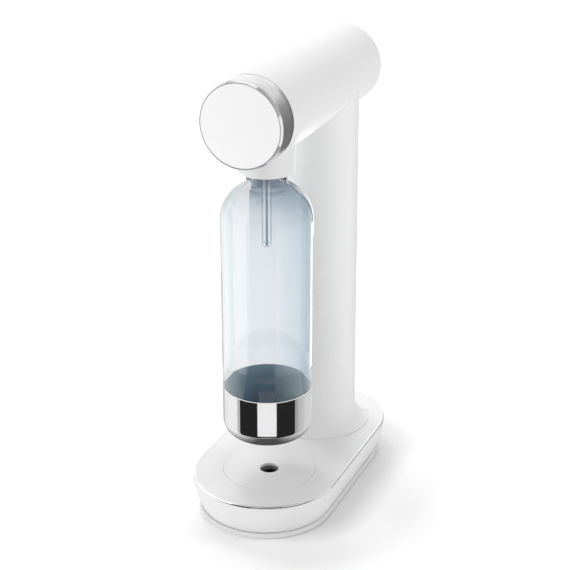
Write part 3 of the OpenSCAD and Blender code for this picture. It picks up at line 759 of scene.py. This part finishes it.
tube = rounded(
    [
        (ARM_IN, ARM_FRONT, 0.2),
        (ARM_R, ARM_FRONT, 0.45),
        (ARM_R, ARM_REAR, 1.1),
        (ARM_IN, ARM_REAR, 0.3),
    ],
    4,
)
arm = build("arm_skin", *turned(tube, about_arm, 256), [WHITE])
cut(arm, COLUMN_IN, COLUMN_Y)
cut(arm, COLLAR_HOLE_R, BOTTLE_Y)
arm.data.shade_smooth()
arm.data.set_sharp_from_angle(angle=radians(SHARP))
arm.data.normals_split_custom_set(tube_normals(arm))
attach(arm, "stand", ["arm_shell"])

cap = [
    (0, ARM_REAR - 0.32),
    (ARM_IN - 1.2, ARM_REAR - 0.32),
    (ARM_IN - 0.6, ARM_REAR - 0.4),
    (ARM_IN - 0.25, ARM_REAR - 0.7),
    (ARM_IN - 0.2, ARM_REAR - 3.3),
    (ARM_IN - 0.2, ARM_REAR - 12),
    (ARM_IN - 2.3, ARM_REAR - 12),
    (ARM_IN - 2.3, ARM_REAR - 3.3),
    (0, ARM_REAR - 3.3),
]
make(
    "arm_rear_disc",
    *turned(cap, about_arm, 160, closed=False),
    "stand",
    ["arm_rear_cap"],
    "white_shell",
    [WHITE],
)


# ---------- knob ----------

chamfer_end = KNOB_FRONT + CHAMFER_W
ring = [(RING_IN, RING_REAR), (RING_IN, POCKET_Y), (POCKET_R, POCKET_Y)]
ring += [(POCKET_R, KNOB_FRONT + 0.15), (POCKET_R + 0.1, KNOB_FRONT)]
ring += [(POCKET_R + 0.32, KNOB_FRONT), (ARM_R - 0.15, chamfer_end - 0.45)]
ring += [(ARM_R - 0.03, chamfer_end - 0.25), (ARM_R, chamfer_end)]
ring += [(ARM_R, KNOB_FRONT + k) for k in (6, 12, 18)]
ring += [(ARM_R, RING_REAR - 0.3), (ARM_R - 0.1, RING_REAR - 0.05)]
ring += [(ARM_R - 0.3, RING_REAR)]
make(
    "knob_ring_band",
    *turned(ring, about_arm, 256),
    "knob",
    ["knob_ring"],
    "brushed_ring",
    [RING, CHAMFER],
    pick=lambda c, n: int(c.y < chamfer_end - 0.2),
)
disc = [
    (0, KNOB_FRONT + 0.12),
    (POCKET_R - 1.2, KNOB_FRONT + 0.12),
    (POCKET_R - 0.8, KNOB_FRONT + 0.17),
    (POCKET_R - 0.5, KNOB_FRONT + 0.35),
    (POCKET_R - 0.35, KNOB_FRONT + 0.65),
    (POCKET_R - 0.3, KNOB_FRONT + 1.0),
    (POCKET_R - 0.3, POCKET_Y + 0.02),
    (0, POCKET_Y + 0.02),
]
make(
    "knob_face_disc",
    *turned(disc, about_arm, 256, closed=False),
    "knob",
    ["knob_face"],
    "white_face",
    [FACE_WHITE],
)


# ---------- collar ----------


def collar_part(steps=160, middle=345.0):
    """The ring under the arm, its upper end cut to the arm's tube."""
    low = [(COLLAR_IN, middle, 0), (COLLAR_IN, COLLAR_Z, 0.5)]
    low += [(COLLAR_R, COLLAR_Z, 1.9), (COLLAR_R, middle, 0)]
    low = [(COLLAR_IN, COLLAR_STEP_Z)] + rounded(low, 7)
    verts = []
    for i in range(steps):
        angle = 2 * pi * i / steps
        c, s = cos(angle), sin(angle)
        top = ARM_Z - sqrt((ARM_R + 0.02) ** 2 - (COLLAR_R * c) ** 2)
        line = low + [(COLLAR_R, middle + (top - middle) * k / 4) for k in range(1, 5)]
        line += [(COLLAR_STEP_R, top), (COLLAR_STEP_R, COLLAR_STEP_Z)]
        verts += [(r * c, BOTTLE_Y + r * s, z) for r, z in line]
    return verts, skin(len(line), steps)


# The collar takes the greyer white of painted shade under the arm
make(
    "bottle_collar_ring",
    *collar_part(),
    "stand",
    ["bottle_collar"],
    "white_shell",
    [COLLAR_PAINTED_SHADE],
)


# ---------- bottle ----------


def bottle_line(inset):
    """The bottle's outline, from the centre of its foot up to the shoulder."""
    low, top = BOTTLE_LOW_R - inset, BOTTLE_R - inset
    z0 = CUP_Z + CUP_WALL + 0.1 + inset
    foot = CUP_FILLET - CUP_WALL - 0.1
    line = [(0, z0), (low - foot, z0)]
    line += arc(low - foot, z0 + foot, foot, -90, 0, 10)[1:]
    if inset:
        line += [(low, CUP_TOP - 4), (low, CUP_TOP + 1), (top, CUP_TOP + 26)]
    else:
        line += [(low, CUP_TOP - 0.4), (top - 0.15, CUP_TOP + 0.1), (top, CUP_TOP + 0.4)]
    line += [(top, CUP_TOP + (SHOULDER_Z - CUP_TOP) * k / 6) for k in range(1, 6)]
    return line


def bottle_profile():
    """The wall of the bottle: outside upwards, over the mouth and down inside."""
    cx = BOTTLE_R - SHOULDER_R
    fx = NECK_R + NECK_FILLET
    fz = SHOULDER_Z + sqrt((SHOULDER_R + NECK_FILLET) ** 2 - (fx - cx) ** 2)
    meet = degrees(atan2(fz - SHOULDER_Z, fx - cx))

    def side(inset):
        line = bottle_line(inset)
        line += arc(cx, SHOULDER_Z, SHOULDER_R - inset, 0, meet, 36)
        return line + arc(fx, fz, NECK_FILLET + inset, meet - 180, -180, 8)[1:]

    outer = side(0.0)
    outer += [(NECK_R, NECK_TOP - 0.8), (NECK_R - 0.25, NECK_TOP - 0.2)]
    outer += [(NECK_R - 0.8, NECK_TOP), (MOUTH_R + 0.4, NECK_TOP)]
    outer += [(MOUTH_R, NECK_TOP + 0.4), (MOUTH_R, MOUTH_Z - 0.5), (MOUTH_R - 0.4, MOUTH_Z)]
    neck_in = NECK_R - BOTTLE_WALL
    inner = side(BOTTLE_WALL)
    inner += [(neck_in, NECK_TOP - 5.4), (neck_in - 0.5, NECK_TOP - 4.6)]
    inner += [(MOUTH_IN + 0.4, NECK_TOP - 2.4), (MOUTH_IN, NECK_TOP - 1.6)]
    inner += [(MOUTH_IN, MOUTH_Z - 0.4), (MOUTH_IN + 0.4, MOUTH_Z)]
    return outer + inner[::-1]


make(
    "bottle_glass_wall",
    *turned(bottle_profile(), about_z(BOTTLE_Y), 256, closed=False),
    "bottle",
    ["bottle"],
    "bottle_glass",
    [BOTTLE_GLASS],
    sharp=50,
)


def cup_profile():
    """The cup's wall: outside upwards, over the rim and down inside."""
    centre = (BOTTLE_R - CUP_FILLET, CUP_Z + CUP_FILLET)
    outer = [(0, CUP_Z), (20, CUP_Z)] + arc(*centre, CUP_FILLET, -90, 0, 16)
    outer += [(BOTTLE_R, z) for z in (93.6, 104, 116, CUP_TOP - 0.6, CUP_TOP - 0.35)]
    outer += [(BOTTLE_R - 0.1, CUP_TOP - 0.1), (BOTTLE_R - 0.35, CUP_TOP)]
    outer += [(BOTTLE_R - 0.8, CUP_TOP), (BOTTLE_R - CUP_WALL + 0.02, CUP_TOP - 0.2)]
    inner = [(BOTTLE_R - CUP_WALL, 112)]
    inner += arc(*centre, CUP_FILLET - CUP_WALL, 0, -90, 12)
    return outer + inner + [(0, CUP_Z + CUP_WALL)]


def cup_material(centre, normal):
    """Slot of a face of the cup: 2 on the rim, 1 on the inside and 0 elsewhere."""
    if centre.z > CUP_TOP - 0.55:
        return 2
    x, y = centre.x, centre.y - BOTTLE_Y
    inward = normal.x * x + normal.y * y < 0.01 and normal.z > -0.01
    return int(hypot(x, y) < BOTTLE_R - 0.9 and centre.z > CUP_Z + 0.5 and inward)


make(
    "bottle_cup_shell",
    *turned(cup_profile(), about_z(BOTTLE_Y), 256, closed=False),
    "bottle",
    ["bottle_cup"],
    "polished_cup",
    [CUP, CUP_INSIDE_PAINTED_LIGHT, LIP],
    pick=cup_material,
)

# The sleeve's foot is rounded and closed but for the bore of the tube
foot_z = SLEEVE_LOW + 4.1
sleeve = [(SLEEVE_BORE, SLEEVE_LOW)] + arc(0, foot_z, SLEEVE_R, -72, 0, 10)
sleeve += [(SLEEVE_R, SLEEVE_TOP), (SLEEVE_IN, SLEEVE_TOP), (SLEEVE_IN, foot_z + 0.3)]
sleeve += [(SLEEVE_IN - 0.2, foot_z), (SLEEVE_BORE, foot_z), (SLEEVE_BORE, SLEEVE_LOW)]
make(
    "nozzle_sleeve_clear",
    *turned(sleeve, about_z(BOTTLE_Y), 48, closed=False),
    "bottle_holder",
    ["nozzle_sleeve"],
    "sleeve_clear",
    [SLEEVE_GLASS],
)


# ---------- camera, floor and light ----------


def view_axes(azimuth, elevation):
    a, e = radians(azimuth), radians(elevation)
    back = Vector((sin(a) * cos(e), -cos(a) * cos(e), sin(e)))
    right = Vector((cos(a), sin(a), 0))
    return right, back.cross(right), back


def aim(obj, place, azimuth, elevation):
    """Puts an object so that it looks back along the given direction."""
    right, up, back = view_axes(azimuth, elevation)
    turn = Matrix((right, up, back)).transposed().to_4x4()
    obj.matrix_world = Matrix.Translation(place) @ turn


AZIMUTH, ELEVATION = 23.316, 22.765
CAMERA_PLACE = (0.49436, -1.16518, 0.73456)
lens = bpy.data.cameras.new("camera")
lens.lens = 91.93
lens.sensor_width = 36
camera = bpy.data.objects.new("camera", lens)
bpy.context.scene.collection.objects.link(camera)
aim(camera, CAMERA_PLACE, AZIMUTH, ELEVATION)
bpy.context.scene.camera = camera


def stage_mesh(name, verts, faces, material):
    mesh = bpy.data.meshes.new(name)
    mesh.from_pydata(verts, [], faces)
    mesh.materials.append(material)
    obj = bpy.data.objects.new(name, mesh)
    bpy.context.scene.collection.objects.link(obj)
    return obj


def stage_plane(name, width, height, material):
    w, h = width / 2, height / 2
    corners = [(-w, -h, 0), (w, -h, 0), (w, h, 0), (-w, h, 0)]
    return stage_mesh(name, corners, [(0, 1, 2, 3)], material)


def floor_material():
    """White paper that glows evenly, but less so beside and under the base, which paints
    its shadow there. The distance counts from a line along the base, a little to its right."""
    mat, tree, shader = new_material("floor_white_painted_shadow")
    shader.inputs["Base Color"].default_value = (0.80, 0.80, 0.80, 1)
    shader.inputs["Roughness"].default_value = 0.9
    shader.inputs["Specular IOR Level"].default_value = 0.1
    coord = tree.nodes.new("ShaderNodeTexCoord")
    split = tree.nodes.new("ShaderNodeSeparateXYZ")
    tree.links.new(coord.outputs["Object"], split.inputs["Vector"])

    def math(operation, first, second):
        node = tree.nodes.new("ShaderNodeMath")
        node.operation = operation
        for socket, value in zip(node.inputs, (first, second)):
            if isinstance(value, (int, float)):
                socket.default_value = value
            else:
                tree.links.new(value, socket)
        return node.outputs["Value"]

    shadow_line_x, shadow_line_y, near, far = 0.026, 0.02, 0.052, 0.20
    across = math("SUBTRACT", split.outputs["X"], shadow_line_x)
    lengthways = math("SUBTRACT", split.outputs["Y"], shadow_line_y)
    beyond = math("SUBTRACT", math("ABSOLUTE", lengthways, 0), BASE_END * MM)
    beyond = math("MAXIMUM", beyond, 0)
    squares = math("ADD", math("MULTIPLY", across, across), math("MULTIPLY", beyond, beyond))
    place = tree.nodes.new("ShaderNodeMapRange")
    place.inputs["From Min"].default_value = near
    place.inputs["From Max"].default_value = far
    tree.links.new(math("SQRT", squares, 0), place.inputs["Value"])
    # Low glow near the base is the painted shadow; the far glow keeps the paper white
    glow = [(0.0, 0.03), (0.13, 0.15), (0.19, 0.22), (0.26, 0.21), (0.38, 0.20), (0.51, 0.26)]
    glow = [(reach, (grey,) * 3) for reach, grey in glow + [(1.0, 0.43)]]
    tree.links.new(ramp(tree, place.outputs["Result"], glow), shader.inputs["Emission Color"])
    shader.inputs["Emission Strength"].default_value = 1.0
    return mat


floor = stage_plane("floor", 8, 8, floor_material())
floor.visible_glossy = False


def card_material(name, shades, axis, low=0.0, high=1.0, fade=None, reach=0.0):
    """A glowing card that shows from its front only, and from no nearer than its
    reach. The shades run along one of its axes. A fade darkens it along its Y,
    and does so less before the given place along its X."""
    mat = bpy.data.materials.new(name)
    mat.use_nodes = True
    tree = mat.node_tree
    tree.nodes.remove(tree.nodes["Principled BSDF"])
    glow = tree.nodes.new("ShaderNodeEmission")
    coord = tree.nodes.new("ShaderNodeTexCoord")
    split = tree.nodes.new("ShaderNodeSeparateXYZ")
    tree.links.new(coord.outputs["Object"], split.inputs["Vector"])

    def along(which, start, end):
        node = tree.nodes.new("ShaderNodeMapRange")
        node.inputs["From Min"].default_value = start
        node.inputs["From Max"].default_value = end
        tree.links.new(split.outputs[which], node.inputs["Value"])
        return node.outputs["Result"]

    color = ramp(tree, along(axis, low, high), shades)
    if fade:
        mix = tree.nodes.new("ShaderNodeMix")
        mix.data_type = "RGBA"
        mix.blend_type = "MULTIPLY"
        place, weak, (start, end), stops = fade
        share = [(place, (weak,) * 3), (place + 0.01, (1, 1, 1))]
        tree.links.new(ramp(tree, along("X", low, high), share), mix.inputs["Factor"])
        tree.links.new(color, mix.inputs["A"])
        tree.links.new(ramp(tree, along("Y", start, end), stops), mix.inputs["B"])
        color = mix.outputs["Result"]
    tree.links.new(color, glow.inputs["Color"])
    clear = tree.nodes.new("ShaderNodeBsdfTransparent")
    geometry = tree.nodes.new("ShaderNodeNewGeometry")
    path = tree.nodes.new("ShaderNodeLightPath")
    near = tree.nodes.new("ShaderNodeMath")
    near.operation = "LESS_THAN"
    near.inputs[1].default_value = reach
    tree.links.new(path.outputs["Ray Length"], near.inputs[0])
    hidden = tree.nodes.new("ShaderNodeMath")
    hidden.operation = "MAXIMUM"
    tree.links.new(geometry.outputs["Backfacing"], hidden.inputs[0])
    tree.links.new(near.outputs["Value"], hidden.inputs[1])
    mix = tree.nodes.new("ShaderNodeMixShader")
    tree.links.new(hidden.outputs["Value"], mix.inputs["Fac"])
    tree.links.new(glow.outputs["Emission"], mix.inputs[1])
    tree.links.new(clear.outputs["BSDF"], mix.inputs[2])
    tree.links.new(mix.outputs["Shader"], tree.nodes["Material Output"].inputs["Surface"])
    return mat, glow


def only(obj, glossy=False, transmission=False):
    """Leaves a card in polished surfaces, or behind the glass, and nowhere else."""
    obj.visible_camera = False
    obj.visible_diffuse = False
    obj.visible_shadow = False
    obj.visible_volume_scatter = False
    obj.visible_glossy = glossy
    obj.visible_transmission = transmission


def greys(stops):
    return [(place, (grey,) * 3) for place, grey in stops]


def even(grey):
    return greys([(0.0, grey), (1.0, grey)])


def curved_card(name, start, end, low, high, distance, shades, strength=1.0, reach=0.0):
    """A card on a circle round the bottle, between two angles from the camera's
    side, for the reflections in the polished parts. Its shades run upwards."""
    steps = 16
    verts = []
    for k in range(steps + 1):
        a = radians(AZIMUTH + start + (end - start) * k / steps)
        for z in (low, high):
            verts.append((distance * sin(a), BOTTLE_Y * MM - distance * cos(a), z))
    faces = [(2 * k, 2 * k + 1, 2 * k + 3, 2 * k + 2) for k in range(steps)]
    mat, glow = card_material(name, shades, "Z", low, high, reach=reach)
    glow.inputs["Strength"].default_value = strength
    only(stage_mesh(name, verts, faces, mat), glossy=True)


# Far cards that reach low, which only the steel cup mirrors
for name, start, end, grey in (
    ("cup_left_edge", -180, -145, 0.575),
    ("cup_left_shade", -145, -122, 0.90),
    ("cup_left_bright", -122, -84, 0.96),
    ("cup_left_fade", -84, -75, 0.55),
    ("cup_left_dark", -75, -25.5, 0.02),
    ("cup_middle", -25.5, 23, 0.95),
    ("cup_right_dark", 23, 75, 0.02),
    ("cup_right_fade", 75, 85, 0.40),
    ("cup_right_grey", 85, 97, 0.55),
    ("cup_right_shade", 97, 110, 0.62),
    ("cup_right_bright", 110, 148, 0.72),
    ("cup_right_edge", 148, 180, 0.57),
):
    curved_card(name, start, end, -14.0, -1.22, 3.6, even(grey))

# Nearer cards for the bottle's wall, and one close to its shoulder
for name, start, end, low, high, distance, grey, strength, reach in (
    ("glass_bright_left", -125, -49, -0.085, 0.5, 0.5, 1.0, 2.0, 0.0),
    ("glass_dark_middle", -49, 22, -0.10, 0.5, 0.5, 0.04, 1.0, 0.0),
    ("glass_dark_low", -49, 22, -0.28, -0.168, 0.5, 0.02, 1.0, 0.0),
    ("glass_bright_right", 22, 106, -0.085, 0.5, 0.5, 1.0, 0.9, 0.0),
    ("glass_bright_edge", 134, 166, -0.10, 0.12, 0.5, 1.0, 2.6, 0.45),
    ("glass_bright_shoulder", 125, 166, 0.25, 0.34, 0.085, 1.0, 2.0, 0.0),
):
    curved_card(name, start, end, low, high, distance, even(grey), strength, reach)

# A dark card for the lower right of the knob's ring, and a bright one for its chamfer
dark, _ = card_material("ring_dark_low", even(0.16), "X", reach=0.09)
near_ring = stage_plane("ring_dark_low", 0.11, 0.075, dark)
upright = Matrix.Rotation(pi / 2, 4, "X")
near_ring.matrix_world = Matrix.Translation((0.035, 0.005, 0.3225)) @ upright
only(near_ring, glossy=True)
bright_w = 1.4
shades = greys([(0.0, 0.5), (0.45, 1.0), (1.0, 1.0)])
bright, _ = card_material("chamfer_bright", shades, "X", -bright_w / 2, bright_w / 2)
above = stage_plane("chamfer_bright", bright_w, bright_w, bright)
above.matrix_world = Matrix.Translation((-0.5, -0.3, 1.5)) @ Matrix.Rotation(pi, 4, "X")
only(above, glossy=True)

# Two tall cards behind, dark low down and bright high up, for the knob's ring
back_low, back_high = -1.34, 2.2
right_shades = [(back_low, 0.12), (-0.58, 0.13), (0.40, 0.19), (1.14, 0.32)]
right_shades += [(1.42, 0.42), (1.66, 0.62), (1.85, 0.90), (1.98, 1.0)]
left_shades = [(back_low, 0.50), (-0.95, 0.55), (-0.50, 0.80), (-0.30, 1.0)]
for name, start, end, stops in (
    ("ring_back_right", 111, 156, right_shades),
    ("ring_back_left", 156, 200, left_shades),
):
    stops = greys([((z - back_low) / (back_high - back_low), grey) for z, grey in stops])
    curved_card(name, start, end, back_low, back_high, 3.2, stops, 1.12)

# A dark disc over the deck, for the rounded lower edge of the cup
disc_r, disc_z, disc_steps = 0.103, 0.0385, 48
shades = [(0.0, 0.90), (0.15, 0.60), (0.3, 0.25), (0.38, 0.08), (0.62, 0.08), (0.7, 0.2)]
shades = greys(shades + [(0.85, 0.50), (1.0, 0.75)])
dark, _ = card_material("under_cup_dark", shades, "X", -0.1, 0.1)
turns = [2 * pi * k / disc_steps for k in range(disc_steps)]
verts = [(disc_r * cos(t), disc_r * sin(t), 0) for t in turns]
under = stage_mesh("under_cup_dark", verts, [tuple(range(disc_steps))], dark)
turn = Matrix.Rotation(radians(AZIMUTH), 4, "Z")
under.matrix_world = Matrix.Translation((0, BOTTLE_Y * MM, disc_z)) @ turn
only(under, glossy=True)

# A pale blue card behind the bottle, seen only through its glass, and wide and
# long enough for the bottle's other poses
shades = [
    (0.0, (0.78, 0.81, 0.80)),
    (0.10, (0.80, 0.83, 0.81)),
    (0.17, (0.89, 0.88, 0.895)),
    (0.305, (0.895, 0.885, 0.90)),
    (0.315, (0.85, 0.86, 0.87)),
    (0.45, (0.873, 0.87, 0.883)),
    (0.60, (0.81, 0.83, 0.855)),
    (0.74, (0.69, 0.74, 0.785)),
    (0.85, (0.60, 0.67, 0.72)),
    (0.90, (0.48, 0.57, 0.64)),
    (1.0, (0.38, 0.48, 0.56)),
]
upward = [
    (0.0, (1, 1, 1)),
    (0.45, (0.97, 0.97, 0.98)),
    (0.62, (0.92, 0.94, 0.95)),
    (0.70, (0.85, 0.87, 0.88)),
    (0.79, (0.70, 0.74, 0.77)),
    (0.87, (0.44, 0.52, 0.58)),
    (0.95, (0.14, 0.20, 0.25)),
]
fade = (0.305, 0.3, (-0.055, 0.12), upward)
pale, _ = card_material("bottle_backing", shades, "X", -0.045, 0.045, fade)
backing = stage_plane("bottle_backing", 0.15, 0.31, pale)
_, _, back = view_axes(AZIMUTH, 0)
aim(backing, Vector((0, BOTTLE_Y * MM, 0.195)) - back * 0.048, AZIMUTH, 0)
only(backing, transmission=True)


def studio_world():
    """Soft surroundings: an even part and a lobe from each of three sides."""
    world = bpy.data.worlds.new("studio")
    bpy.context.scene.world = world
    world.use_nodes = True
    tree = world.node_tree
    coord = tree.nodes.new("ShaderNodeTexCoord")
    even_part, total = 0.385, None
    for axis, weight in (((-1, 0, 0), 0.48), ((0, 1, 0), 0.40), ((0, -1, 0), 0.66)):
        dot = tree.nodes.new("ShaderNodeVectorMath")
        dot.operation = "DOT_PRODUCT"
        dot.inputs[1].default_value = axis
        tree.links.new(coord.outputs["Generated"], dot.inputs[0])
        lobe = tree.nodes.new("ShaderNodeMapRange")
        lobe.inputs["To Max"].default_value = weight
        tree.links.new(dot.outputs["Value"], lobe.inputs["Value"])
        add = tree.nodes.new("ShaderNodeMath")
        tree.links.new(lobe.outputs["Result"], add.inputs[0])
        add.inputs[1].default_value = even_part
        if total:
            tree.links.new(total, add.inputs[1])
        total = add.outputs["Value"]
    background = tree.nodes["Background"]
    background.inputs["Color"].default_value = (1, 1, 1, 1)
    tree.links.new(total, background.inputs["Strength"])


studio_world()


def area_light(name, place, size, energy, target=(0, 0, 0.2)):
    """A round soft light that no polished surface and no glass shows."""
    data = bpy.data.lights.new(name, "AREA")
    data.shape = "DISK"
    data.size = size
    data.energy = energy
    obj = bpy.data.objects.new(name, data)
    bpy.context.scene.collection.objects.link(obj)
    way = (Vector(place) - Vector(target)).to_track_quat("Z", "Y")
    obj.matrix_world = Matrix.Translation(place) @ way.to_matrix().to_4x4()
    obj.visible_glossy = False
    obj.visible_transmission = False


area_light("key_left_back", (-0.5, 1.55, 1.4), 1.0, 9.0)
area_light("key_above", (-0.8, 0.6, 1.6), 0.5, 5.4)
area_light("fill_right", (1.5, 0.5, 1.2), 0.6, 5.4)

scene = bpy.context.scene
scene.view_settings.view_transform = "Standard"
scene.view_settings.look = "None"
